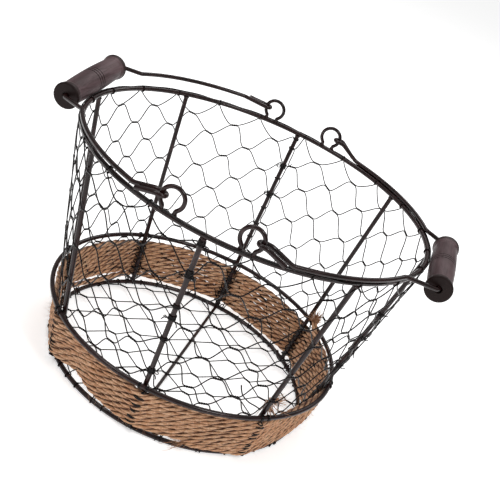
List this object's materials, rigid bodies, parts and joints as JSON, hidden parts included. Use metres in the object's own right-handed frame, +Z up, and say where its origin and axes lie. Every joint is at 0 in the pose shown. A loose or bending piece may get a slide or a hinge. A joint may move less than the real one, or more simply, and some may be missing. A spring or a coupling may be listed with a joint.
{
  "type": "egg collection basket",
  "caption": "Round tapered wire egg basket with wire-netting walls, a jute rope band round its foot, and folding bails with turned wooden grips.",
  "frame": {"origin": "middle of the footprint, on the surface the basket stands on", "axes": "+Z up, +X towards the right-hand wooden grip, +Y towards the back pair of eyelets"},
  "size_m": [0.344, 0.3016, 0.2141],
  "materials": {
    "frame_wire": "satin",
    "bail_wire": "satin",
    "grip_wood": "satin",
    "netting_wire": "satin",
    "tie_wire": "satin",
    "jute": "matt"
  },
  "bodies": {
    "basket": {"rim_ring": "frame_wire", "middle_ring": "frame_wire", "bottom_ring": "frame_wire", "base_bar": "frame_wire", "post_1": "frame_wire", "post_2": "frame_wire", "post_3": "frame_wire", "post_4": "frame_wire", "post_5": "frame_wire", "post_6": "frame_wire", "post_7": "frame_wire", "post_8": "frame_wire", "eyelet_back_left": "frame_wire", "eyelet_back_right": "frame_wire", "eyelet_front_left": "frame_wire", "eyelet_front_right": "frame_wire", "netting_left": "netting_wire", "netting_right": "netting_wire", "floor_netting": "netting_wire", "seam_ties_back": "tie_wire", "seam_ties_front": "tie_wire", "jute_rope": "jute", "rope_lashing_1": "tie_wire", "rope_lashing_2": "tie_wire", "rope_lashing_3": "tie_wire", "rope_lashing_4": "tie_wire", "rope_lashing_5": "tie_wire", "rope_lashing_6": "tie_wire", "rope_lashing_7": "tie_wire", "rope_lashing_8": "tie_wire"},
    "left_bail": {"bail_left": "bail_wire"},
    "right_bail": {"bail_right": "bail_wire"},
    "left_grip": {"grip_left": "grip_wood"},
    "right_grip": {"grip_right": "grip_wood"}
  },
  "joints": [
    {"name": "left_bail_fold", "type": "hinge", "parent": "basket", "child": "left_bail", "pos_m": [-0.0296, 0, 0.2038], "axis": [0, 1, 0], "range_deg": [0, 100]},
    {"name": "right_bail_fold", "type": "hinge", "parent": "basket", "child": "right_bail", "pos_m": [0.0296, 0, 0.2038], "axis": [0, -1, 0], "range_deg": [0, 100]},
    {"name": "left_grip_spin", "type": "hinge", "parent": "left_bail", "child": "left_grip", "pos_m": [-0.16, 0.005, 0.1982], "axis": [0, 0.9946, 0.1034], "continuous": true},
    {"name": "right_grip_spin", "type": "hinge", "parent": "right_bail", "child": "right_grip", "pos_m": [0.162, -0.003, 0.1921], "axis": [0, 1, 0], "continuous": true}
  ]
}
